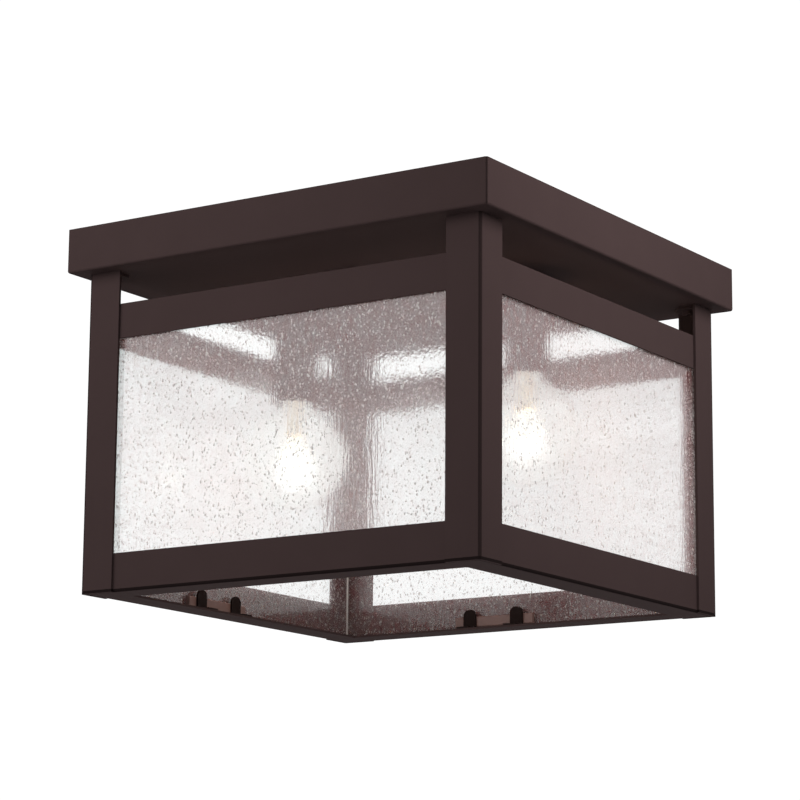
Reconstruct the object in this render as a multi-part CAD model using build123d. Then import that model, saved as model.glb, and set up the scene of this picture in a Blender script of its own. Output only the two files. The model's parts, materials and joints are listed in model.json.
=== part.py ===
from build123d import *
import os
from math import atan2, cos, pi, sin, sqrt

# Flush mount ceiling light: a square lantern of sheet metal and seeded glass under a tray canopy.
# Millimetres. +Z is up and the ceiling is the plane z = 0, so the light hangs into negative z.
# The front is the -Y side. Each side is made once at the front and turned about Z.

# Canopy tray
canopy_width = 267.0
canopy_height = 24.4
canopy_sheet = 1.2
canopy_bend = 1.4

# Frame of posts and rails
canopy_overhang = 9.1
overall_height = 199.0
post_leg = 20.4
post_sheet = 1.5
post_bend = 1.2
post_foot = 16.0
post_foot_cut = 6.0
rail_sheet = 1.2
rail_bend = 1.2
air_gap = 18.0
top_rail_height = 19.3
channel_lip = 8.0
bottom_rail_height = 20.8
bottom_flange = 18.0

# Panes, and the strips and clips that hold their feet
glass_thickness = 3.0
glass_play = 0.3
glass_end_play = 0.5
glass_top_play = 1.0
pad_thickness = 2.5
pad_length = 52.0
pad_height = 6.2
pad_lift = 1.5
pad_play = 0.05
clip_width = 8.2
clip_height = 11.7
clip_pitch = 31.5
clip_offset = 15.0
clip_margin = 2.0

# Screws that hold the post feet to the canopy
screw_radius = 1.95
screw_head_radius = 3.6
screw_head_height = 2.2
screw_nut_width = 7.0
screw_nut_height = 2.8
screw_end = 1.2
hole_clearance = 0.25
thread_clearance = 0.08

# Mounting strap and the studs that carry the canopy
strap_width = 25.0
strap_thickness = 1.6
strap_end = 13.0
strap_corner = 4.0
slot_spacing = 79.4
slot_length = 14.4
slot_radius = 2.4
slot_to_stud = 10.1
strap_centre_hole = 5.2
stud_radius = 2.05
stud_nut_width = 8.7
stud_nut_height = 3.2
cap_nut_radius = 5.6
cap_nut_flange = 6.6
cap_nut_flange_height = 1.6
cap_nut_height = 11.0
stud_grip = 6.0
stud_end_play = 0.4
earth_offset = 17.0
earth_radius = 1.95
earth_head_radius = 4.2
earth_head_height = 2.8

# Nipples that hold the lamp holders
nipple_radius = 4.85
nipple_bore = 3.3
nipple_nut_width = 14.3
nipple_nut_height = 3.0
nipple_above_nut = 1.8
nipple_below = 3.1

# Sleeve, bracket and lamp holder
sleeve_length = 55.6
sleeve_wall = 0.9
sleeve_top = 1.0
bracket_sheet = 0.8
bracket_plate = 1.5
bracket_width = 6.0
bracket_gap = 0.1
bracket_to_sleeve = 0.2
bracket_grip = 8.0
holder_radius = 9.8
holder_drop = 20.7
holder_length = 24.0
holder_head = 6.5
shell_wall = 0.4
shell_play = 0.1
shell_setback = 0.5
shell_flange_bore = 4.0
shell_step = 1.1
contact_radius = 2.4
contact_height = 1.0

# Lamp with a small screw cap and a round envelope
thread_pitch = 2.54
thread_major = 5.95
thread_minor = 5.45
thread_turns = 5
thread_play = 0.3
cap_wall = 0.35
cap_lead = 0.7
cap_flare_radius = 8.2
cap_flare_cone = 1.8
cap_flare_length = 4.2
tip_radius = 2.0
tip_height = 2.0
insulator_height = 2.0
insulator_top_radius = 3.2
globe_radius = 29.0
envelope_wall = 0.8
neck_play = 0.15
neck_flare = 9.2
neck_in_cap = 2.0
neck_below_cap = 0.3
lamp_to_glass = 14.9
stem_radius = 3.5
stem_drop = 24.0
stem_flare_height = 1.2
support_radius = 0.4
support_drop = 12.0
filament_radius = 0.7
filament_half_span = 8.0
filament_sag = 3.0

# Leads and wire connectors in the canopy
lead_radius = 1.2
lead_pitch = 2.8
lead_bend = 4.0
lead_rise = 10.2
lead_into_connector = 12.0
connector_radius = 6.5
connector_tail_radius = 4.2
connector_length = 24.0
connector_bore = 3.9
connector_x = 24.0
connector_y = 12.0
connector_lift = 0.2

# Levels and faces that follow from the sizes above
canopy_half = canopy_width / 2
canopy_under = -canopy_height
canopy_floor = canopy_under + canopy_sheet
body_half = canopy_half - canopy_overhang
bottom = -overall_height
rail_outer = body_half - post_sheet
rail_inner = rail_outer - rail_sheet
glass_outer = rail_inner - glass_play
glass_inner = glass_outer - glass_thickness
lip_outer = glass_inner - glass_play
clip_outer = glass_inner - pad_thickness - pad_play
clip_inner = clip_outer - rail_sheet
flange_edge = rail_outer - bottom_flange
flange_top = bottom + rail_sheet
top_rail_top = canopy_under - air_gap
stud_y = slot_spacing / 2 + slot_length / 2 + slot_to_stud
lamp_x = glass_inner - globe_radius - lamp_to_glass

os.makedirs("parts", exist_ok=True)


def save(shape, name):
    export_step(shape, f"parts/{name}.step")


def block(x0, x1, y0, y1, z0, z1):
    size = Box(x1 - x0, y1 - y0, z1 - z0)
    return Pos((x0 + x1) / 2, (y0 + y1) / 2, (z0 + z1) / 2) * size


def rod(radius, z0, z1, x=0.0, y=0.0):
    return Pos(x, y, (z0 + z1) / 2) * Cylinder(radius, abs(z1 - z0))


def hex_nut(width, bore, z0, z1, x, y):
    body = extrude(RegularPolygon(width / 2, 6, major_radius=False), z1 - z0)
    return Pos(x, y, z0) * body - rod(bore, z0, z1, x, y)


def turned(points):
    # Solid of revolution about Z from a list of (radius, z) corners.
    return revolve(Plane.XZ * make_face(Polyline(*points, close=True)), Axis.Z)


def quarter_turns(shape):
    return [Rot(0, 0, 90 * k) * shape for k in range(4)]


# Canopy: a folded tray, open towards the ceiling.
post_hole = rail_outer - post_foot / 2
post_spots = [(sx * post_hole, sy * post_hole) for sx in (-1, 1) for sy in (-1, 1)]
stud_spots = [(0.0, -stud_y), (0.0, stud_y)]
lamp_spots = [(-lamp_x, 0.0), (lamp_x, 0.0)]

tray = block(-canopy_half, canopy_half, -canopy_half, canopy_half, canopy_under, 0.0)
folds = tray.edges().filter_by(Axis.Z) + tray.edges().group_by(Axis.Z)[0]
tray = fillet(folds, canopy_bend)
hollow = canopy_half - canopy_sheet
tray -= block(-hollow, hollow, -hollow, hollow, canopy_floor, 1.0)
for x, y in post_spots:
    tray -= rod(screw_radius + hole_clearance, canopy_under - 1, canopy_floor + 1, x, y)
for x, y in stud_spots:
    tray -= rod(stud_radius + hole_clearance, canopy_under - 1, canopy_floor + 1, x, y)
for x, y in lamp_spots:
    tray -= rod(nipple_radius + hole_clearance, canopy_under - 1, canopy_floor + 1, x, y)
save(tray, "canopy")

# Corner posts: L-angles, each with a foot under the canopy that takes one screw.
b = body_half
angle = make_face(Polyline(
    (b, -b), (b, -b + post_leg), (b - post_sheet, -b + post_leg), (b - post_sheet, -b + post_sheet),
    (b - post_leg, -b + post_sheet), (b - post_leg, -b), close=True))
outer_corner = angle.vertices().sort_by(Axis.X)[-2:].sort_by(Axis.Y)[0]
angle = fillet(outer_corner, post_bend)
post = Pos(0, 0, bottom) * extrude(angle, overall_height - canopy_height)
r = rail_outer
foot = make_face(Polyline(
    (r, -r), (r, -r + post_foot), (r - post_foot + post_foot_cut, -r + post_foot),
    (r - post_foot, -r + post_foot - post_foot_cut), (r - post_foot, -r), close=True))
post += Pos(0, 0, canopy_under - post_sheet) * extrude(foot, post_sheet)
post -= rod(screw_radius + hole_clearance, canopy_under - post_sheet - 1, canopy_under + 1,
            post_hole, -post_hole)
corner_names = ["front_right", "back_right", "back_left", "front_left"]
for name, shape in zip(corner_names, quarter_turns(post)):
    save(shape, f"corner_post_{name}")

# One screw and nut for each foot: head below the foot, nut on the tray floor.
screw_seat = canopy_under - post_sheet
screw_top = canopy_floor + screw_nut_height + screw_end
screws = []
nuts = []
for x, y in post_spots:
    head = rod(screw_head_radius, screw_seat - screw_head_height, screw_seat, x, y)
    head = fillet(head.edges().group_by(Axis.Z)[0], 0.9)
    drive = rod(1.3, screw_seat - screw_head_height - 1, screw_seat - 1.0, x, y)
    screws.append(head + rod(screw_radius, screw_seat, screw_top, x, y) - drive)
    nuts.append(hex_nut(screw_nut_width, screw_radius + thread_clearance, canopy_floor,
                        canopy_floor + screw_nut_height, x, y))
save(Compound(children=screws), "post_screws")
save(Compound(children=nuts), "post_nuts")

# Rails have mitred ends: a long bar of the profile, cut to the wedge between the two diagonals.
reach = canopy_width
wedge_face = make_face(Polyline((0, 0), (-reach, -reach), (reach, -reach), close=True))
wedge = Pos(0, 0, bottom - 10) * extrude(wedge_face, overall_height + 20)


def rail_bar(profile):
    return extrude(Plane.YZ * profile, reach / 2, both=True) & wedge


# Top rail: a channel, open downwards, that holds the top edge of the pane.
low = top_rail_top - top_rail_height
lip_low = top_rail_top - channel_lip
channel = make_face(Polyline(
    (-rail_outer, low), (-rail_outer, top_rail_top), (-lip_outer + rail_sheet, top_rail_top),
    (-lip_outer + rail_sheet, lip_low), (-lip_outer, lip_low), (-lip_outer, top_rail_top - rail_sheet),
    (-rail_inner, top_rail_top - rail_sheet), (-rail_inner, low), close=True))
channel = fillet(channel.vertices().group_by(Axis.Y)[-1], rail_bend)
side_names = ["front", "right", "back", "left"]
for name, shape in zip(side_names, quarter_turns(rail_bar(channel))):
    save(shape, f"top_rail_{name}")

# Bottom rail: an angle with a wide flange.
ledge = make_face(Polyline(
    (-rail_outer, bottom + bottom_rail_height), (-rail_inner, bottom + bottom_rail_height),
    (-rail_inner, flange_top), (-flange_edge, flange_top), (-flange_edge, bottom),
    (-rail_outer, bottom), close=True))
ledge = fillet(ledge.vertices().group_by(Axis.Y)[0].sort_by(Axis.X)[0], rail_bend)
for name, shape in zip(side_names, quarter_turns(rail_bar(ledge))):
    save(shape, f"bottom_rail_{name}")

# Clips: two L-shaped ones, welded to each bottom flange, press the strip against the foot of the pane.
clips = []
for x in (clip_offset - clip_pitch / 2, clip_offset + clip_pitch / 2):
    tab = block(x - clip_width / 2, x + clip_width / 2, -clip_outer, -clip_inner,
                flange_top, flange_top + clip_height)
    ends = tab.edges().filter_by(Axis.Y).group_by(Axis.Z)[-1]
    clip = fillet(ends, clip_width / 2 - 0.6)
    clip += block(x - clip_width / 2, x + clip_width / 2, -clip_outer, -flange_edge - clip_margin,
                  flange_top, flange_top + rail_sheet)
    heel = clip.edges().filter_by(Axis.X).group_by(Axis.Z)[0].sort_by(Axis.Y)[0]
    clips += quarter_turns(fillet(heel, rail_sheet * 0.8))
save(Compound(children=clips), "glass_clips")

# Panes stand on the bottom flanges. The front and back panes run past the edges of the side panes.
pane_top = top_rail_top - rail_sheet - glass_top_play
wide = glass_outer - glass_end_play
narrow = glass_inner - glass_end_play
for name, turn in zip(side_names, range(4)):
    half = wide if turn % 2 == 0 else narrow
    pane = block(-half, half, -glass_outer, -glass_inner, flange_top, pane_top)
    save(Rot(0, 0, 90 * turn) * pane, f"glass_{name}")

# Soft strip between the clips and the pane of each side.
pad = block(clip_offset - pad_length / 2, clip_offset + pad_length / 2,
            -glass_inner, -glass_inner + pad_thickness, flange_top + pad_lift, flange_top + pad_lift + pad_height)
pad = fillet(pad.edges().filter_by(Axis.X).group_by(Axis.Y)[-1], 0.8)
for name, shape in zip(side_names, quarter_turns(pad)):
    save(shape, f"glass_pad_{name}")

# Mounting strap: fixed to the ceiling box through its two slots.
strap_half = stud_y + strap_end
plate = RectangleRounded(strap_width, 2 * strap_half, strap_corner)
plate -= Circle(strap_centre_hole)
for s in (-1, 1):
    plate -= Pos(0, s * slot_spacing / 2) * Rot(0, 0, 90) * SlotOverall(slot_length, 2 * slot_radius)
    plate -= Pos(0, s * stud_y) * Circle(stud_radius + thread_clearance)
plate -= Pos(0, -earth_offset) * Circle(earth_radius + thread_clearance)
save(Pos(0, 0, -strap_thickness) * extrude(plate, strap_thickness), "mounting_strap")

# Studs hang from the strap, locked by nuts, and cap nuts below hold the canopy up.
studs = []
stud_nuts = []
cap_nuts = []
stud_low = canopy_under - stud_grip
dome_centre = canopy_under - cap_nut_height + cap_nut_radius
for x, y in stud_spots:
    stud = rod(stud_radius, stud_low, 0.0, x, y)
    studs.append(chamfer(stud.edges().group_by(Axis.Z)[0], 0.5))
    stud_nuts.append(hex_nut(stud_nut_width, stud_radius + thread_clearance,
                             -strap_thickness - stud_nut_height, -strap_thickness, x, y))
    cap = rod(cap_nut_flange, canopy_under - cap_nut_flange_height, canopy_under, x, y)
    cap = fillet(cap.edges().group_by(Axis.Z)[0], 0.6)
    cap += rod(cap_nut_radius, dome_centre, canopy_under, x, y)
    cap += Pos(x, y, dome_centre) * Sphere(cap_nut_radius)
    cap -= rod(stud_radius + thread_clearance, stud_low - stud_end_play, canopy_under + 1, x, y)
    cap_nuts.append(cap)
save(Compound(children=studs), "strap_studs")
save(Compound(children=stud_nuts), "stud_nuts")
save(Compound(children=cap_nuts), "cap_nuts")

# Earth screw, head below the strap.
earth = rod(earth_head_radius, -strap_thickness - earth_head_height, -strap_thickness, 0, -earth_offset)
earth = fillet(earth.edges().group_by(Axis.Z)[0], 0.7)
earth -= block(-0.6, 0.6, -earth_offset - 6, -earth_offset + 6,
               -strap_thickness - earth_head_height - 1, -strap_thickness - earth_head_height + 1.1)
earth += rod(earth_radius, -strap_thickness, 0.0, 0, -earth_offset)
save(earth, "earth_screw")

# Nipples and their nuts clamp sleeve, bracket and canopy together.
sleeve_under = canopy_under - sleeve_top
bracket_under = sleeve_under - bracket_plate
nut_top = canopy_floor + nipple_nut_height
nipple_top = nut_top + nipple_above_nut
nipple_low = bracket_under - nipple_below
nipples = []
nipple_nuts = []
for x, y in lamp_spots:
    tube = rod(nipple_radius, nipple_low, nipple_top, x, y)
    tube = chamfer(tube.edges().group_by(Axis.Z)[0] + tube.edges().group_by(Axis.Z)[-1], 0.5)
    nipples.append(tube - rod(nipple_bore, nipple_low - 1, nipple_top + 1, x, y))
    nipple_nuts.append(hex_nut(nipple_nut_width, nipple_radius + thread_clearance, canopy_floor, nut_top, x, y))
save(Compound(children=nipples), "lamp_nipples")
save(Compound(children=nipple_nuts), "nipple_nuts")

# Lamp holder, made on the axis and copied to both places.
holder_top = bracket_under - holder_drop
holder_low = holder_top - holder_length
holder_face = holder_top - holder_head
leg_in = holder_radius + bracket_gap
leg_out = leg_in + bracket_sheet
sleeve_inner = sqrt(leg_out ** 2 + (bracket_width / 2) ** 2) + bracket_to_sleeve
sleeve_radius = sleeve_inner + sleeve_wall
sleeve_low = canopy_under - sleeve_length
shell_inner = thread_major + thread_play
shell_outer = shell_inner + shell_wall
shell_top = holder_face - shell_step
shell_low = holder_low + shell_setback

sleeve = turned([
    (nipple_radius + hole_clearance, canopy_under), (sleeve_radius, canopy_under), (sleeve_radius, sleeve_low),
    (sleeve_inner, sleeve_low), (sleeve_inner, sleeve_under), (nipple_radius + hole_clearance, sleeve_under)])

leg_low = holder_top - bracket_grip
half_width = bracket_width / 2
bracket = block(-leg_out, leg_out, -half_width, half_width, bracket_under, sleeve_under)
bracket += rod(nipple_radius + 2.2, bracket_under, sleeve_under)
bracket += block(-leg_out, -leg_in, -half_width, half_width, leg_low, sleeve_under)
bracket += block(leg_in, leg_out, -half_width, half_width, leg_low, sleeve_under)
bracket -= rod(nipple_radius + thread_clearance, bracket_under - 1, sleeve_under + 1)

holder = rod(holder_radius, holder_low, holder_top)
holder = fillet(holder.edges().group_by(Axis.Z)[-1], 1.0)
holder -= rod(shell_outer + shell_play, holder_low - 1, shell_top)
holder -= rod(contact_radius + shell_play, shell_top - 1, holder_face)

shell = turned([
    (shell_flange_bore, shell_top), (shell_outer, shell_top), (shell_outer, shell_low),
    (shell_inner, shell_low), (shell_inner, shell_top - shell_wall), (shell_flange_bore, shell_top - shell_wall)])

contact = rod(contact_radius, holder_face - contact_height, holder_face)

# Lamp: contact button, insulator, screw cap, envelope, stem and filament, from the top down.
tip_top = holder_face - contact_height
tip_low = tip_top - tip_height
cap_top = tip_low - insulator_height
thread_mean = (thread_major + thread_minor) / 2
thread_top = cap_top - cap_lead
thread_low = thread_top - thread_turns * thread_pitch
cap_low = thread_low - cap_flare_length
neck_radius = cap_flare_radius - cap_wall - neck_play
neck_top = cap_low + neck_in_cap
neck_low = cap_low - neck_below_cap
flare_reach = globe_radius + neck_flare
globe_z = neck_low - sqrt(flare_reach ** 2 - (neck_radius + neck_flare) ** 2)

tip = rod(tip_radius, tip_low, tip_top)
tip = fillet(tip.edges().group_by(Axis.Z)[-1], 0.5)

cap_inner = thread_minor - cap_wall
insulator = turned([
    (0, tip_low), (insulator_top_radius, tip_low), (cap_inner, cap_top), (0, cap_top)])

# The thread of the cap is drawn as one rounded ring a turn.
outline = [Line((tip_radius, cap_top), (cap_inner, cap_top)),
           Line((cap_inner, cap_top), (thread_mean, thread_top))]
for k in range(thread_turns):
    z = thread_top - k * thread_pitch
    middle = z - thread_pitch / 2
    outline.append(ThreePointArc((thread_mean, z), (thread_major, z - thread_pitch / 4), (thread_mean, middle)))
    outline.append(ThreePointArc((thread_mean, middle), (thread_minor, middle - thread_pitch / 4),
                                 (thread_mean, z - thread_pitch)))
outline += Polyline(
    (thread_mean, thread_low), (cap_flare_radius, thread_low - cap_flare_cone),
    (cap_flare_radius, cap_low), (neck_radius + neck_play, cap_low), (neck_radius + neck_play, neck_top),
    (cap_inner, thread_low), (cap_inner, cap_top - cap_wall), (tip_radius, cap_top - cap_wall),
    (tip_radius, cap_top)).edges()
lamp_cap = revolve(Plane.XZ * make_face(outline), Axis.Z)


def envelope_edges(neck, globe, flare):
    # Straight neck, hollow flare and round globe, each tangent to the next.
    lean = atan2(neck_low - globe_z, neck + flare)
    join = (globe * cos(lean), globe_z + globe * sin(lean))
    middle = pi + lean / 2
    flare_point = (neck + flare + flare * cos(middle), neck_low + flare * sin(middle))
    globe_middle = (lean - pi / 2) / 2
    globe_point = (globe * cos(globe_middle), globe_z + globe * sin(globe_middle))
    return [Line((neck, neck_top), (neck, neck_low)),
            ThreePointArc((neck, neck_low), flare_point, join),
            ThreePointArc(join, globe_point, (0, globe_z - globe))]


neck_bore = neck_radius - envelope_wall
globe_bore = globe_radius - envelope_wall
skin = envelope_edges(neck_radius, globe_radius, neck_flare)
skin += envelope_edges(neck_bore, globe_bore, neck_flare + envelope_wall)
skin.append(Line((neck_bore, neck_top), (neck_radius, neck_top)))
skin.append(Line((0, globe_z - globe_radius), (0, globe_z - globe_bore)))
globe = revolve(Plane.XZ * make_face(skin), Axis.Z)

stem_low = neck_top - stem_drop
stem = rod(neck_bore - neck_play, neck_top - stem_flare_height, neck_top)
stem += rod(stem_radius, stem_low, neck_top)
stem = fillet(stem.edges().group_by(Axis.Z)[0], 1.5)

# Two support wires spread from the stem and carry the filament between their ends.
arc_z = stem_low - support_drop
filament = Part()
for s in (-1, 1):
    start = Vector(s * stem_radius / 2, 0, stem_low)
    end = Vector(s * filament_half_span, 0, arc_z)
    way = Line(start, end)
    filament += sweep(Plane(origin=start, z_dir=end - start) * Circle(support_radius), path=way)
    filament += Pos(end) * Sphere(filament_radius)
bow = ThreePointArc((-filament_half_span, 0, arc_z), (0, 0, arc_z - filament_sag), (filament_half_span, 0, arc_z))
filament += sweep(Plane(origin=bow @ 0, z_dir=bow % 0) * Circle(filament_radius), path=bow)
filament -= rod(stem_radius, stem_low, stem_low + 1)

stack = {
    "socket_sleeve": sleeve, "holder_bracket": bracket, "lampholder": holder, "screw_shell": shell,
    "holder_contact": contact, "lamp_tip": tip, "lamp_insulator": insulator, "lamp_cap": lamp_cap,
    "lamp_globe": globe, "lamp_stem": stem, "lamp_filament": filament}
for side, (x, y) in zip(("left", "right"), lamp_spots):
    for name, shape in stack.items():
        save(Pos(x, y, 0) * shape, f"{name}_{side}")

# Leads run from the lamp holders up through the nipples and into two connectors on the tray floor.
# The white leads are the black ones turned half round.
connector_z = canopy_floor + connector_radius + connector_lift
run_z = canopy_floor + lead_rise
half_pitch = lead_pitch / 2
lead_end = -connector_y - lead_into_connector


def lead(points):
    way = FilletPolyline(*points, radius=lead_bend)
    return sweep(Plane(origin=way @ 0, z_dir=way % 0) * Circle(lead_radius), path=way)


near_x = -connector_x - half_pitch
near = lead([
    (-lamp_x, -half_pitch, holder_top), (-lamp_x, -half_pitch, run_z), (near_x - 15, -half_pitch, run_z),
    (near_x, -half_pitch - 4, connector_z), (near_x, lead_end, connector_z)])
far_x = -connector_x + half_pitch
far = lead([
    (lamp_x, -half_pitch, holder_top), (lamp_x, -half_pitch, run_z), (far_x + 28, -half_pitch - 4, run_z),
    (far_x, -half_pitch - 4, connector_z), (far_x, lead_end, connector_z)])
half_turn = Rot(0, 0, 180)
save(near, "black_lead_left")
save(far, "black_lead_right")
save(half_turn * near, "white_lead_right")
save(half_turn * far, "white_lead_left")

# Wire connectors: tapered caps that lie on the tray floor, mouths towards the middle.
taper = turned([
    (0, connector_length), (connector_tail_radius, connector_length), (connector_radius, 0),
    (connector_bore, 0), (connector_bore, lead_into_connector), (0, lead_into_connector)])
rim = taper.edges().filter_by(GeomType.CIRCLE).group_by(Axis.Z)[-1]
taper = fillet(rim, 1.5)
lying = Pos(-connector_x, -connector_y, connector_z) * Rot(90, 0, 0) * taper
save(Compound(children=[lying, half_turn * lying]), "wire_connectors")
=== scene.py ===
import json
import math

import bpy
from mathutils import Matrix, Vector


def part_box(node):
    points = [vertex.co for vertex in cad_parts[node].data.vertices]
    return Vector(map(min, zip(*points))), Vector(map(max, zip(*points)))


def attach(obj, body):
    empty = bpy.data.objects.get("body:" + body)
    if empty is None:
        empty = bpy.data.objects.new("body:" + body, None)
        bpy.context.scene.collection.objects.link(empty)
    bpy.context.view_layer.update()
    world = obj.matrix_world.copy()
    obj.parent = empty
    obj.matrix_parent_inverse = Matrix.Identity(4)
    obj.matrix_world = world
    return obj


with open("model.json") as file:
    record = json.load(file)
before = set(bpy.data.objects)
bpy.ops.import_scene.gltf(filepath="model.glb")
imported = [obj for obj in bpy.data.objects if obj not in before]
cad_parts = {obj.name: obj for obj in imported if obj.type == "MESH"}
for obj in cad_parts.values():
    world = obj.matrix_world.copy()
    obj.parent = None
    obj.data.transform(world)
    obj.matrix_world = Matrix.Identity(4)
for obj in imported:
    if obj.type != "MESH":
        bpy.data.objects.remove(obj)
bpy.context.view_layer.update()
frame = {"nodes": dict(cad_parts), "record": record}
nodes = frame["nodes"]
scene = bpy.context.scene
scene.view_settings.view_transform = "Standard"


# Camera, at the viewing angle of the photograph: below, to the right of the front, and tilted up.
eye = Vector((0.846255, -1.291779, -0.404644))
forward = Vector((-0.538696, 0.817758, 0.202680))
right = Vector((0.835930, 0.548784, 0.007597))
up = Vector((0.105014, -0.173519, 0.979216))
camera_data = bpy.data.cameras.new("camera")
camera_data.sensor_width = 36.0
camera_data.lens = 128.962
camera_data.clip_end = 50.0
camera = bpy.data.objects.new("camera", camera_data)
turn = Matrix((right, up, -forward)).transposed().to_4x4()
camera.matrix_world = Matrix.Translation(eye) @ turn
scene.collection.objects.link(camera)
scene.camera = camera


FLOAT = "NodeSocketFloat"
COLOUR = "NodeSocketColor"
GEOMETRY = "NodeSocketGeometry"

# A wave texture of scale 1 turns by this many radians in a metre.
WAVE_RATE = 20.0

# Height of the fine grain of a finish, in metres.
GRAIN_HEIGHT = 0.0003

# Corners of a square, in turn.
AROUND = ((-1, -1), (1, -1), (1, 1), (-1, 1))


# Small helpers for node trees.
def add(tree, kind, inputs=None, **settings):
    # A new node. An input that is given a socket is linked to it, and any other is set as a constant.
    made = tree.nodes.new(kind)
    for key, value in settings.items():
        setattr(made, key, value)
    for key, value in (inputs or {}).items():
        if isinstance(value, bpy.types.NodeSocket):
            tree.links.new(value, made.inputs[key])
        else:
            made.inputs[key].default_value = value
    return made


def found(tree, kind):
    # The first node of a kind.
    return next(node for node in tree.nodes if node.type == kind)


def here(tree):
    # The place on the piece, in metres.
    return add(tree, "ShaderNodeTexCoord").outputs["Object"]


def drawn_out(tree, place, squeeze):
    # A place squeezed in height, so that a pattern on it is drawn out upwards.
    return add(tree, "ShaderNodeMapping", {"Vector": place, "Scale": (1.0, 1.0, squeeze)}).outputs["Vector"]


def noise(tree, place, scale, detail):
    return add(tree, "ShaderNodeTexNoise", {"Vector": place, "Scale": scale, "Detail": detail}).outputs["Fac"]


def maths(tree, operation, *values):
    return add(tree, "ShaderNodeMath", dict(enumerate(values)), operation=operation).outputs[0]


def scaled(tree, vector, amount):
    return add(tree, "ShaderNodeVectorMath", {0: vector, "Scale": amount}, operation="SCALE").outputs[0]


def bumped(tree, height, strength, distance):
    relief = add(tree, "ShaderNodeBump", {"Height": height, "Strength": strength, "Distance": distance})
    return relief.outputs["Normal"]


def mixed_colour(tree, share, first, second):
    # A Mix node has a set of sockets for each kind of value. These are the ones for colours.
    return add(tree, "ShaderNodeMix", {0: share, 6: first, 7: second}, data_type="RGBA").outputs[2]


def mixed(tree, share, first, second):
    # The first shader, with a share of the second.
    return add(tree, "ShaderNodeMixShader", {0: share, 1: first.outputs[0], 2: second.outputs[0]})


def random_float(tree, seed, least, most):
    # A Random Value node has a set of sockets for each kind of value. These are the ones for floats.
    draw = add(tree, "FunctionNodeRandomValue", {2: least, 3: most, "Seed": seed}, data_type="FLOAT")
    return draw.outputs[1]


def new_group(name, kind, inputs, outputs):
    # An empty node group and what it is given. An input has a name, a kind and a first value or None.
    group = bpy.data.node_groups.new(name, kind)
    for label, socket_kind, value in inputs:
        socket = group.interface.new_socket(label, in_out="INPUT", socket_type=socket_kind)
        if value is not None:
            socket.default_value = value
    for label, socket_kind in outputs:
        group.interface.new_socket(label, in_out="OUTPUT", socket_type=socket_kind)
    return group, add(group, "NodeGroupInput").outputs


def fresh_material(name):
    material = bpy.data.materials.new(name)
    material.use_nodes = True
    tree = material.node_tree
    tree.nodes.clear()
    output = add(tree, "ShaderNodeOutputMaterial")
    return material, tree, output.inputs["Surface"]


# Shared effect: the slight unevenness of a finish, in colour, gloss and surface.
def build_uneven_finish():
    group, given = new_group(
        "uneven_finish",
        "ShaderNodeTree",
        (
            ("Colour", COLOUR, (0.5, 0.5, 0.5, 1.0)),
            ("Spread", FLOAT, 0.1),
            ("Scale", FLOAT, 60.0),
            ("Grain Scale", FLOAT, 900.0),
            ("Roughness", FLOAT, 0.4),
            ("Roughness Spread", FLOAT, 0.05),
        ),
        (("Colour", COLOUR), ("Roughness", FLOAT), ("Height", FLOAT)),
    )
    place = here(group)
    cloud = noise(group, place, given["Scale"], detail=4.0)
    grain = noise(group, place, given["Grain Scale"], detail=2.0)
    centred = maths(group, "MULTIPLY_ADD", cloud, 2.0, -1.0)
    amount = maths(group, "MULTIPLY_ADD", centred, given["Spread"], 1.0)
    tint = scaled(group, given["Colour"], amount)
    gloss = maths(group, "MULTIPLY_ADD", centred, given["Roughness Spread"], given["Roughness"])
    add(group, "NodeGroupOutput", {"Colour": tint, "Roughness": gloss, "Height": grain})
    return group


# Effect of drawn glass: fine upright streaks, a small pebble and soft waves as a height, and a fine speckle
# that takes in the streaks.
def build_drawn_glass():
    streak_squeeze = 0.09
    speckle_squeeze = 0.3
    streak_share = 0.8
    dim_up_to = 0.81
    bright_from = 0.98
    group, given = new_group(
        "drawn_glass",
        "ShaderNodeTree",
        (
            ("Streak Scale", FLOAT, 700.0),
            ("Streak Height", FLOAT, 1.1),
            ("Pebble Scale", FLOAT, 480.0),
            ("Wave Scale", FLOAT, 60.0),
            ("Wave Height", FLOAT, 1.5),
            ("Speckle Scale", FLOAT, 720.0),
        ),
        (("Height", FLOAT), ("Speckle", FLOAT)),
    )
    place = here(group)
    streak = noise(group, drawn_out(group, place, streak_squeeze), given["Streak Scale"], detail=2.0)
    pebble = noise(group, place, given["Pebble Scale"], detail=2.0)
    wave = noise(group, place, given["Wave Scale"], detail=1.0)
    pebble_and_streak = maths(group, "MULTIPLY_ADD", streak, given["Streak Height"], pebble)
    height = maths(group, "MULTIPLY_ADD", wave, given["Wave Height"], pebble_and_streak)
    speckle = noise(group, drawn_out(group, place, speckle_squeeze), given["Speckle Scale"], detail=1.0)
    speckle_and_streak = maths(group, "MULTIPLY_ADD", streak, streak_share, speckle)
    sharper = add(group, "ShaderNodeMapRange", {
        "Value": speckle_and_streak, "From Min": dim_up_to, "From Max": bright_from})
    add(group, "NodeGroupOutput", {"Height": height, "Speckle": sharper.outputs[0]})
    return group


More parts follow.
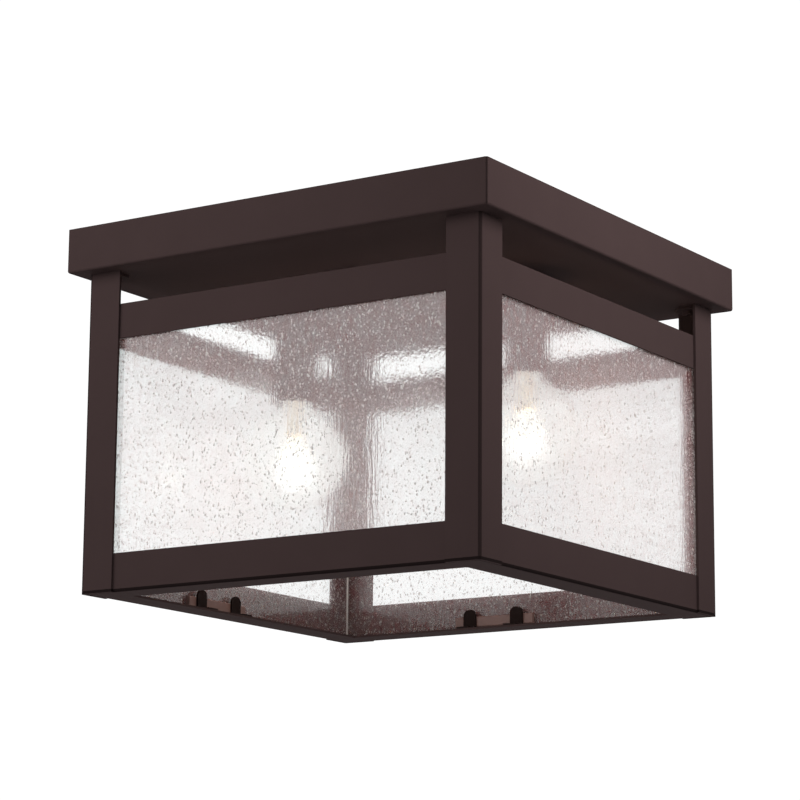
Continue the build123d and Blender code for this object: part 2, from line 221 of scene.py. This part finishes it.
# Shared effect: painted shade, a dark line painted into the colour along each outward fold of painted sheet
# on a square frame.
def build_painted_fold_shade():
    # The underside itself, up to this height above the lowest level, stays out of the lip's line.
    underside = 0.0001
    group, given = new_group(
        "fold_lines",
        "ShaderNodeTree",
        (
            ("Colour", COLOUR, None),
            ("Outer", FLOAT, 0.1),
            ("Corner Depth", FLOAT, 0.001),
            ("Lowest", FLOAT, -0.2),
            ("Lip Height", FLOAT, 0.001),
            ("Lip Depth", FLOAT, 0.001),
            ("Corner Shade", FLOAT, 0.5),
            ("Lip Shade", FLOAT, 0.75),
        ),
        (("Colour", COLOUR),),
    )
    axes = add(group, "ShaderNodeSeparateXYZ", {"Vector": here(group)}).outputs
    across = maths(group, "ABSOLUTE", axes["X"])
    along = maths(group, "ABSOLUTE", axes["Y"])
    corner_line = maths(group, "SUBTRACT", given["Outer"], given["Corner Depth"])
    corner = maths(group, "GREATER_THAN", maths(group, "MINIMUM", across, along), corner_line)
    lip_line = maths(group, "SUBTRACT", given["Outer"], given["Lip Depth"])
    outside = maths(group, "GREATER_THAN", maths(group, "MAXIMUM", across, along), lip_line)
    rise = maths(group, "SUBTRACT", axes["Z"], given["Lowest"])
    above = maths(group, "GREATER_THAN", rise, underside)
    below = maths(group, "LESS_THAN", rise, given["Lip Height"])
    lip = maths(group, "MULTIPLY", outside, maths(group, "MULTIPLY", above, below))
    corner_shade = maths(group, "MULTIPLY", corner, given["Corner Shade"])
    lip_shade = maths(group, "MULTIPLY", lip, given["Lip Shade"])
    kept = maths(group, "SUBTRACT", 1.0, maths(group, "MAXIMUM", corner_shade, lip_shade))
    add(group, "NodeGroupOutput", {"Colour": scaled(group, given["Colour"], kept)})
    return group


uneven_finish = build_uneven_finish()
drawn_glass = build_drawn_glass()
fold_lines = build_painted_fold_shade()


# Materials. A finish has a scale of its patches and a scale of its grain, both by the metre.
def uneven(tree, colour, spread, scale, grain, roughness, rough_spread):
    effect = add(tree, "ShaderNodeGroup", {
        "Colour": (*colour, 1.0),
        "Spread": spread,
        "Scale": scale,
        "Grain Scale": grain,
        "Roughness": roughness,
        "Roughness Spread": rough_spread,
    }, node_tree=uneven_finish)
    return effect.outputs


def finish(name, colour, spread, scale, grain, roughness, rough_spread, bump, metallic=0.0, specular=0.5):
    material, tree, surface = fresh_material(name)
    effect = uneven(tree, colour, spread, scale, grain, roughness, rough_spread)
    shader = add(tree, "ShaderNodeBsdfPrincipled", {
        "Base Color": effect["Colour"],
        "Roughness": effect["Roughness"],
        "Metallic": metallic,
        "Specular IOR Level": specular,
        "Normal": bumped(tree, effect["Height"], bump, GRAIN_HEIGHT),
    })
    tree.links.new(shader.outputs["BSDF"], surface)
    return material


def with_ridges(material, pitch, depth):
    # Level ridges along the height, such as those of a rolled screw thread.
    tree = material.node_tree
    shader = found(tree, "BSDF_PRINCIPLED")
    grain = found(tree, "BUMP")
    ridges = add(tree, "ShaderNodeTexWave", {
        "Vector": here(tree), "Scale": 2.0 * math.pi / (WAVE_RATE * pitch),
    }, wave_type="BANDS", bands_direction="Z", wave_profile="TRI")
    thread = add(tree, "ShaderNodeBump", {
        "Strength": 1.0,
        "Distance": depth,
        "Height": ridges.outputs["Fac"],
        "Normal": grain.outputs["Normal"],
    })
    tree.links.new(thread.outputs["Normal"], shader.inputs["Normal"])
    return material


def with_painted_fold_shade(material, outer, corner, lowest=1.0, lip_height=0.0, lip_depth=0.0):
    # Paints shade into a paint's colour: a dark line along its upright corners, and along the lower edge
    # where the sheet turns under.
    # Where no lip is given, the lowest level lies above the whole light, so none is drawn.
    tree = material.node_tree
    shader = found(tree, "BSDF_PRINCIPLED")
    folds = add(tree, "ShaderNodeGroup", {
        "Colour": shader.inputs["Base Color"].links[0].from_socket,
        "Outer": outer,
        "Corner Depth": corner,
        "Lowest": lowest,
        "Lip Height": lip_height,
        "Lip Depth": lip_depth,
    }, node_tree=fold_lines)
    tree.links.new(folds.outputs["Colour"], shader.inputs["Base Color"])
    return material


def bare_rays(tree):
    # One for rays that only carry light on, so that the glass lets the light through.
    path = add(tree, "ShaderNodeLightPath").outputs
    return maths(tree, "MAXIMUM", path["Is Shadow Ray"], path["Is Diffuse Ray"])


def shown_rays(tree):
    # One for rays that show a surface: straight from the camera, mirrored, or through glass.
    path = add(tree, "ShaderNodeLightPath").outputs
    seen = maths(tree, "MAXIMUM", path["Is Camera Ray"], path["Is Glossy Ray"])
    return maths(tree, "MAXIMUM", seen, path["Is Transmission Ray"])


def pane_glass():
    # Clear drawn glass with a faint veil, which scatters light from both sides of the pane.
    dim_speck = (0.70, 0.10, 0.10, 1.0)
    bright_speck = (1.0, 0.76, 0.76, 1.0)
    veil_share = 0.107
    behind_share = 0.4
    material, tree, surface = fresh_material("seeded_glass")
    effect = add(tree, "ShaderNodeGroup", node_tree=drawn_glass).outputs
    clear = add(tree, "ShaderNodeBsdfPrincipled", {
        "Base Color": (0.938, 1.0, 1.0, 1.0),
        "Roughness": 0.08,
        "IOR": 1.52,
        "Transmission Weight": 1.0,
        "Normal": bumped(tree, effect["Height"], strength=0.22, distance=0.0002),
    })
    speckled = mixed_colour(tree, effect["Speckle"], dim_speck, bright_speck)
    veil = add(tree, "ShaderNodeBsdfPrincipled", {
        "Base Color": speckled, "Roughness": 1.0, "Specular IOR Level": 0.0})
    lit_behind = add(tree, "ShaderNodeBsdfTranslucent", {"Color": (0.97, 0.76, 0.76, 1.0)})
    through = add(tree, "ShaderNodeBsdfTransparent", {"Color": (0.93, 0.93, 0.93, 1.0)})
    hazy = mixed(tree, veil_share, clear, mixed(tree, behind_share, veil, lit_behind))
    whole = mixed(tree, bare_rays(tree), hazy, through)
    tree.links.new(whole.outputs["Shader"], surface)
    return material


def seed_bubble():
    # A seed bends part of the light away and lets the rest through, so it is dim on a bright ground.
    colour = (0.60, 0.59, 0.575)
    behind_share = 0.45
    clear_share = 0.27
    material, tree, surface = fresh_material("seed_bubble")
    effect = uneven(tree, colour, spread=0.3, scale=300.0, grain=900.0, roughness=0.35, rough_spread=0.1)
    skin = add(tree, "ShaderNodeBsdfPrincipled", {
        "Base Color": effect["Colour"], "Roughness": effect["Roughness"]})
    lit_behind = add(tree, "ShaderNodeBsdfTranslucent", {"Color": (*colour, 1.0)})
    clear = add(tree, "ShaderNodeBsdfTransparent")
    part_clear = mixed(tree, clear_share, mixed(tree, behind_share, skin, lit_behind), clear)
    whole = mixed(tree, bare_rays(tree), part_clear, clear)
    tree.links.new(whole.outputs["Shader"], surface)
    return material


def lit_globe_glass():
    # Clear glass of a lamp that is on, filled with its glow.
    glow_share = 0.27
    material, tree, surface = fresh_material("lit_globe_glass")
    effect = uneven(
        tree, (0.99, 0.99, 0.985), spread=0.004, scale=40.0, grain=90.0, roughness=0.0, rough_spread=0.0)
    clear = add(tree, "ShaderNodeBsdfPrincipled", {
        "Base Color": effect["Colour"],
        "Roughness": 0.0,
        "IOR": 1.3,
        "Transmission Weight": 1.0,
        "Normal": bumped(tree, effect["Height"], 0.1, GRAIN_HEIGHT),
    })
    glow = add(tree, "ShaderNodeEmission", {"Color": (0.99, 0.98, 0.955, 1.0), "Strength": 1.0})
    through = add(tree, "ShaderNodeBsdfTransparent")
    lit = mixed(tree, glow_share, clear, glow)
    whole = mixed(tree, bare_rays(tree), lit, through)
    tree.links.new(whole.outputs["Shader"], surface)
    return material


def glowing(name, colour, strength):
    # A piece inside a lit lamp, with a glow that is a little uneven.
    material, tree, surface = fresh_material(name)
    effect = uneven(tree, colour, spread=0.15, scale=260.0, grain=900.0, roughness=0.35, rough_spread=0.1)
    shader = add(tree, "ShaderNodeBsdfPrincipled", {
        "Base Color": effect["Colour"],
        "Roughness": effect["Roughness"],
        "Emission Color": effect["Colour"],
        "Emission Strength": strength,
    })
    tree.links.new(shader.outputs["BSDF"], surface)
    return material


def painted(name):
    return finish(
        name, (0.050, 0.0325, 0.0318), spread=0.06, scale=45.0, grain=1500.0,
        roughness=0.62, rough_spread=0.03, bump=0.06, specular=0.005)


def steel(name, colour):
    return finish(
        name, colour, spread=0.08, scale=140.0, grain=2000.0,
        roughness=0.34, rough_spread=0.08, bump=0.1, metallic=1.0)


bronze_paint = painted("bronze_paint")
post_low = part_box("corner_post_front_right")[0]
# The frame and the canopy get painted shade, dark lines along their folds.
frame_paint = with_painted_fold_shade(
    painted("frame_paint"), -post_low.y, corner=0.0014,
    lowest=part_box("bottom_rail_front")[0].z, lip_height=0.0017, lip_depth=0.0030)
canopy_paint = with_painted_fold_shade(painted("canopy_paint"), -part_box("canopy")[0].y, corner=0.0008)
pad_rubber = finish(
    "pad_rubber", (0.17, 0.095, 0.082), spread=0.12, scale=90.0, grain=1200.0,
    roughness=0.5, rough_spread=0.06, bump=0.15)
# The clips take a near-black colour, darker than the frame's paint.
clip_black = finish(
    "clip_black", (0.014, 0.008, 0.007), spread=0.1, scale=90.0, grain=1500.0,
    roughness=0.6, rough_spread=0.05, bump=0.08, specular=0.05)
zinc_steel = steel("zinc_steel", (0.62, 0.62, 0.63))
threaded_steel = with_ridges(steel("threaded_steel", (0.60, 0.59, 0.57)), pitch=0.0008, depth=0.0002)
brass = finish(
    "brass", (0.72, 0.55, 0.28), spread=0.08, scale=160.0, grain=2000.0,
    roughness=0.28, rough_spread=0.06, bump=0.08, metallic=1.0)
phenolic = finish(
    "phenolic", (0.012, 0.011, 0.011), spread=0.1, scale=120.0, grain=1500.0,
    roughness=0.38, rough_spread=0.06, bump=0.12)
insulator_black = finish(
    "insulator_black", (0.010, 0.010, 0.012), spread=0.1, scale=200.0, grain=1500.0,
    roughness=0.15, rough_spread=0.04, bump=0.05)
black_insulation = finish(
    "black_insulation", (0.014, 0.014, 0.014), spread=0.1, scale=150.0, grain=2000.0,
    roughness=0.45, rough_spread=0.05, bump=0.1)
white_insulation = finish(
    "white_insulation", (0.74, 0.72, 0.68), spread=0.05, scale=150.0, grain=2000.0,
    roughness=0.42, rough_spread=0.05, bump=0.1)
connector_plastic = finish(
    "connector_plastic", (0.55, 0.20, 0.02), spread=0.08, scale=120.0, grain=1600.0,
    roughness=0.42, rough_spread=0.05, bump=0.15)
green_screw = finish(
    "green_screw", (0.02, 0.14, 0.035), spread=0.1, scale=140.0, grain=1800.0,
    roughness=0.35, rough_spread=0.06, bump=0.1)
seeded_glass = pane_glass()
# Near white: the frosted ground edge of a pane, brightened to stand in for the light the pane carries along
# to its edges, a painted glow.
frosted_edge_and_glow = finish(
    "ground_glass_edge", (0.90, 0.88, 0.87), spread=0.05, scale=200.0, grain=1600.0,
    roughness=0.5, rough_spread=0.05, bump=0.2)
bubble = seed_bubble()
globe_glass = lit_globe_glass()
stem_glass = glowing("warm_stem_glass", (0.80, 0.60, 0.31), strength=0.28)
filament_glow = glowing("filament_glow", (1.0, 0.86, 0.62), strength=6.0)

dress = {
    "bronze_paint": bronze_paint,
    "pad_rubber": pad_rubber,
    "seeded_glass": seeded_glass,
    "lamp_glass": globe_glass,
    "brass": brass,
    "phenolic": phenolic,
    "black_insulator": insulator_black,
    "filament": filament_glow,
    "black_insulation": black_insulation,
    "white_insulation": white_insulation,
    "connector_plastic": connector_plastic,
    "green_screw": green_screw,
    "zinc_steel": zinc_steel,
}
# A face of a pane is one of its broad sides where its normal lies at least this far along the pane's own.
broad_side = 0.7
slots = {part["node"]: part["material_slot"] for part in frame["record"]["subparts"]}
for name, piece in nodes.items():
    material = dress[slots[name]]
    if name.startswith("lamp_stem"):
        material = stem_glass
    if name == "glass_clips":
        material = clip_black
    if name.startswith(("bottom_rail", "corner_post")):
        material = frame_paint
    if name == "canopy":
        material = canopy_paint
    if name in ("strap_studs", "lamp_nipples"):
        material = threaded_steel
    piece.data.materials.clear()
    piece.data.materials.append(material)
    if material is seeded_glass:
        # The narrow faces of a pane are ground, so they look frosted; their near-white colour also paints in
        # the light that the pane carries to its edges, a painted glow.
        piece.data.materials.append(frosted_edge_and_glow)
        flat = 1 if name.endswith(("front", "back")) else 0
        for face in piece.data.polygons:
            face.material_index = 0 if abs(face.normal[flat]) > broad_side else 1


# Seeds: small upright bubbles, coarse and fine, scattered through the thickness of each pane.
def build_seeds():
    small_bias = 3.0
    height_seed = 7
    tree, given = new_group(
        "seeds_in_pane",
        "GeometryNodeTree",
        (
            ("Geometry", GEOMETRY, None),
            ("Density", FLOAT, 60000.0),
            ("Depth", FLOAT, 0.001),
            ("Smallest", FLOAT, 0.00018),
            ("Largest", FLOAT, 0.0005),
            ("Stretch", FLOAT, 2.2),
            ("Seed", "NodeSocketInt", 1),
            ("Normal", "NodeSocketVector", None),
            ("Material", "NodeSocketMaterial", None),
        ),
        (("Geometry", GEOMETRY),),
    )
    scatter = add(tree, "GeometryNodeDistributePointsOnFaces", {
        "Mesh": given["Geometry"], "Density": given["Density"], "Seed": given["Seed"]})
    how_deep = random_float(tree, given["Seed"], -1.0, 1.0)
    inward = scaled(tree, given["Normal"], maths(tree, "MULTIPLY", how_deep, given["Depth"]))
    sink = add(tree, "GeometryNodeSetPosition", {"Geometry": scatter.outputs["Points"], "Offset": inward})
    ball = add(tree, "GeometryNodeMeshIcoSphere", {"Radius": 1.0, "Subdivisions": 1})
    smooth = add(tree, "GeometryNodeSetShadeSmooth", {"Geometry": ball.outputs["Mesh"]})
    mostly_small = maths(tree, "POWER", random_float(tree, given["Seed"], 0.0, 1.0), small_bias)
    width = add(tree, "ShaderNodeMapRange", {
        "Value": mostly_small, "To Min": given["Smallest"], "To Max": given["Largest"]}).outputs[0]
    tall = random_float(tree, height_seed, 1.0, given["Stretch"])
    height = maths(tree, "MULTIPLY", width, tall)
    size = add(tree, "ShaderNodeCombineXYZ", {"X": width, "Y": width, "Z": height})
    copies = add(tree, "GeometryNodeInstanceOnPoints", {
        "Points": sink.outputs["Geometry"], "Instance": smooth.outputs["Geometry"], "Scale": size.outputs[0]})
    real = add(tree, "GeometryNodeRealizeInstances", {"Geometry": copies.outputs["Instances"]})
    paint = add(tree, "GeometryNodeSetMaterial", {
        "Geometry": real.outputs["Geometry"], "Material": given["Material"]})
    add(tree, "NodeGroupOutput", {"Geometry": paint.outputs["Geometry"]})
    return tree


def made_mesh(name, base_mesh, tree, values):
    # Runs a node tree on a mesh and keeps the result as a plain mesh object.
    base = bpy.data.objects.new(name + "_base", base_mesh)
    scene.collection.objects.link(base)
    modifier = base.modifiers.new("shape", "NODES")
    modifier.node_group = tree
    for item in tree.interface.items_tree:
        if item.item_type == "SOCKET" and item.in_out == "INPUT" and item.name in values:
            modifier[item.identifier] = values[item.name]
    bpy.context.view_layer.update()
    depsgraph = bpy.context.evaluated_depsgraph_get()
    mesh = bpy.data.meshes.new_from_object(base.evaluated_get(depsgraph), depsgraph=depsgraph)
    mesh.name = name
    bpy.data.objects.remove(base)
    piece = bpy.data.objects.new(name, mesh)
    scene.collection.objects.link(piece)
    return piece


seeds_tree = build_seeds()
# Seeds keep this far from the edges of a pane, and lie within this depth of its middle plane.
edge_room = 0.0015
seed_depth = 0.0009
# A seed is up to this many times as tall as it is wide.
seed_stretch = 2.0
# Outward normal of each pane, and its coarse and fine seeds in a square metre.
pane_sides = (
    ("front", (0, -1, 0), 265000.0, 265000.0),
    ("right", (1, 0, 0), 200000.0, 120000.0),
    ("back", (0, 1, 0), 265000.0, 230000.0),
    ("left", (-1, 0, 0), 280000.0, 210000.0),
)
for number, (side, normal, coarse_density, fine_density) in enumerate(pane_sides):
    low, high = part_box("glass_" + side)
    middle = (low + high) / 2
    half = (high - low) / 2
    across = Vector((abs(normal[1]), abs(normal[0]), 0.0))
    reach = across.dot(half) - edge_room
    rise = half.z - edge_room
    corners = [middle + across * (a * reach) + Vector((0, 0, b * rise)) for a, b in AROUND]
    sheet = bpy.data.meshes.new("seed_sheet_" + side)
    sheet.from_pydata([tuple(c) for c in corners], [], [(0, 1, 2, 3)])
    # Coarse and fine seeds: how many, their least and greatest radius, and the first of their random seeds.
    for name, density, smallest, largest, first_seed in (
        ("glass_seeds_", coarse_density, 0.00018, 0.00060, 11),
        ("fine_glass_seeds_", fine_density, 0.00012, 0.00028, 31),
    ):
        seeds = made_mesh(name + side, sheet, seeds_tree, {
            "Density": density,
            "Depth": seed_depth,
            "Smallest": smallest,
            "Largest": largest,
            "Stretch": seed_stretch,
            "Seed": first_seed + number,
            "Normal": normal,
            "Material": bubble,
        })
        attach(seeds, "fixture")


# Light of the lamps themselves, inside each globe: a core and a soft glow that show, and the warm light
# that they cast.
below_filament = 0.004
for side in ("left", "right"):
    low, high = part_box("lamp_filament_" + side)
    for name, power, colour, radius, shows in (
        ("lamp_core_", 0.0050, (1.0, 0.95, 0.86), 0.0055, True),
        ("lamp_glow_", 0.0036, (1.0, 0.96, 0.88), 0.0140, True),
        ("lamp_light_", 0.060, (1.0, 0.74, 0.48), 0.0052, False),
    ):
        bulb = bpy.data.lights.new(name + side, "POINT")
        bulb.energy = power
        bulb.color = colour
        bulb.shadow_soft_size = radius
        source = bpy.data.objects.new(name + side, bulb)
        source.location = ((low.x + high.x) / 2, (low.y + high.y) / 2, low.z - below_filament)
        source.visible_camera = shows
        source.visible_glossy = shows
        source.visible_transmission = shows
        scene.collection.objects.link(source)
        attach(source, "lamp_" + side)


# Surroundings: a white room. Rays that show it see plain white, and the rest get a soft fill.
world = bpy.data.worlds.new("white_room")
scene.world = world
world.use_nodes = True
room = world.node_tree
room.nodes.clear()
shown = add(room, "ShaderNodeBackground", {"Color": (1.0, 1.0, 1.0, 1.0), "Strength": 1.05})
fill = add(room, "ShaderNodeBackground", {"Color": (0.97, 0.98, 1.0, 1.0), "Strength": 0.32})
choose = mixed(room, shown_rays(room), fill, shown)
add(room, "ShaderNodeOutputWorld", {"Surface": choose.outputs["Shader"]})


def pale_floor():
    # Pale where it is seen, with the shadow kept, and clear from underneath so that it hides nothing.
    material = finish(
        "pale_floor", (0.58, 0.58, 0.58), spread=0.02, scale=4.0, grain=60.0,
        roughness=0.7, rough_spread=0.02, bump=0.02, specular=0.2)
    tree = material.node_tree
    surface = found(tree, "BSDF_PRINCIPLED")
    paleness = add(tree, "ShaderNodeEmission", {"Color": (1.0, 1.0, 1.0, 1.0), "Strength": 0.52})
    brighter = add(tree, "ShaderNodeAddShader", {0: surface.outputs["BSDF"], 1: paleness.outputs["Emission"]})
    from_above = mixed(tree, shown_rays(tree), surface, brighter)
    through = add(tree, "ShaderNodeBsdfTransparent")
    underneath = add(tree, "ShaderNodeNewGeometry").outputs["Backfacing"]
    whole = mixed(tree, underneath, from_above, through)
    tree.links.new(whole.outputs["Shader"], found(tree, "OUTPUT_MATERIAL").inputs["Surface"])
    return material


floor_half = 30.0
floor_level = -0.75
floor_mesh = bpy.data.meshes.new("floor")
floor_corners = [(a * floor_half, b * floor_half, floor_level) for a, b in AROUND]
floor_mesh.from_pydata(floor_corners, [], [(0, 1, 2, 3)])
floor = bpy.data.objects.new("floor", floor_mesh)
floor_mesh.materials.append(pale_floor())
scene.collection.objects.link(floor)


def soft_light(name, place, aim, width, power, mirrored=False):
    # A square light that is never seen itself, and shows in mirrored rays only where that is asked for.
    data = bpy.data.lights.new(name, "AREA")
    data.shape = "SQUARE"
    data.size = width
    data.energy = power
    lamp = bpy.data.objects.new(name, data)
    lamp.location = place
    lamp.rotation_euler = (Vector(aim) - Vector(place)).to_track_quat("-Z", "Y").to_euler()
    lamp.visible_camera = False
    lamp.visible_glossy = mirrored
    lamp.visible_transmission = False
    scene.collection.objects.link(lamp)


soft_light("key_right", place=(0.44, -0.01, 0.12), aim=(0.12, 0.0, -0.08), width=0.3, power=1.95)
soft_light("fill_left", place=(-0.10, -0.50, 0.12), aim=(-0.04, -0.12, -0.08), width=0.3, power=0.95)
soft_light("back_left", place=(-0.55, 0.60, 0.40), aim=(0.0, 0.0, -0.10), width=0.5, power=10.0)
soft_light(
    "front_panel", place=(-0.69, -1.08, 0.11), aim=(0.0, -0.12, -0.12), width=0.9, power=5.2, mirrored=True)
